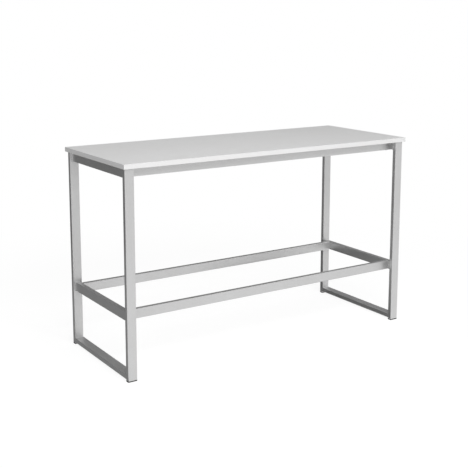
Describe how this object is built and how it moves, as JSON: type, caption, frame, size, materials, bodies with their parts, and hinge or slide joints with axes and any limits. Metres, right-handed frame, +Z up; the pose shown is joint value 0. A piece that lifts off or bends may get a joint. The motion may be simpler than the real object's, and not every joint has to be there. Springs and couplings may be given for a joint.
{
  "type": "standing meeting table",
  "caption": "Standing-height meeting table: long white top on an open silver tube frame with two end frames, front and rear footrest rails and levelling feet.",
  "frame": {"origin": "on the floor, under the middle of the top", "axes": "+X along the table to the right end, +Y to the rear, +Z up"},
  "size_m": [1.8, 0.7, 1.09],
  "materials": {
    "white_laminate": "white melamine face, fine matt texture, on chipboard",
    "white_edging": "white ABS edge band, satin",
    "silver_paint": "silver metallic powder coat, satin",
    "bare_steel": "silver powder coat, thin, inside the joint",
    "zinc_steel": "bright zinc plate",
    "black_plastic": "black moulded polyethylene, fine texture",
    "grey_nylon": "dark grey nylon, worn smooth"
  },
  "bodies": {
    "table": {"front_board_screws": "zinc_steel", "front_edge_band": "white_edging", "front_fixing_tabs": "silver_paint", "front_footrest_lock_screws": "zinc_steel", "front_footrest_rail": "silver_paint", "front_top_lock_screws": "zinc_steel", "front_top_rail": "silver_paint", "left_board_screws": "zinc_steel", "left_edge_band": "white_edging", "left_fixing_tabs": "silver_paint", "left_floor_rail": "silver_paint", "left_front_foot": "black_plastic", "left_front_foot_nut": "zinc_steel", "left_front_footrest_spigot": "bare_steel", "left_front_leg": "silver_paint", "left_front_top_spigot": "bare_steel", "left_mid_cross_rail": "silver_paint", "left_rear_foot": "black_plastic", "left_rear_foot_nut": "zinc_steel", "left_rear_footrest_spigot": "bare_steel", "left_rear_leg": "silver_paint", "left_rear_top_spigot": "bare_steel", "left_top_cross_rail": "silver_paint", "rear_board_screws": "zinc_steel", "rear_edge_band": "white_edging", "rear_fixing_tabs": "silver_paint", "rear_footrest_lock_screws": "zinc_steel", "rear_footrest_rail": "silver_paint", "rear_top_lock_screws": "zinc_steel", "rear_top_rail": "silver_paint", "right_board_screws": "zinc_steel", "right_edge_band": "white_edging", "right_fixing_tabs": "silver_paint", "right_floor_rail": "silver_paint", "right_front_foot": "black_plastic", "right_front_foot_nut": "zinc_steel", "right_front_footrest_spigot": "bare_steel", "right_front_leg": "silver_paint", "right_front_top_spigot": "bare_steel", "right_mid_cross_rail": "silver_paint", "right_rear_foot": "black_plastic", "right_rear_foot_nut": "zinc_steel", "right_rear_footrest_spigot": "bare_steel", "right_rear_leg": "silver_paint", "right_rear_top_spigot": "bare_steel", "right_top_cross_rail": "silver_paint", "top_board": "white_laminate"},
    "left_front_glide": {"left_front_glide_pad": "grey_nylon", "left_front_glide_stud": "zinc_steel"},
    "left_rear_glide": {"left_rear_glide_pad": "grey_nylon", "left_rear_glide_stud": "zinc_steel"},
    "right_front_glide": {"right_front_glide_pad": "grey_nylon", "right_front_glide_stud": "zinc_steel"},
    "right_rear_glide": {"right_rear_glide_pad": "grey_nylon", "right_rear_glide_stud": "zinc_steel"}
  },
  "joints": [
    {"name": "left_front_levelling", "type": "slide", "parent": "table", "child": "left_front_glide", "axis": [0, 0, -1], "range_m": [0, 0.01]},
    {"name": "left_rear_levelling", "type": "slide", "parent": "table", "child": "left_rear_glide", "axis": [0, 0, -1], "range_m": [0, 0.01]},
    {"name": "right_front_levelling", "type": "slide", "parent": "table", "child": "right_front_glide", "axis": [0, 0, -1], "range_m": [0, 0.01]},
    {"name": "right_rear_levelling", "type": "slide", "parent": "table", "child": "right_rear_glide", "axis": [0, 0, -1], "range_m": [0, 0.01]}
  ]
}
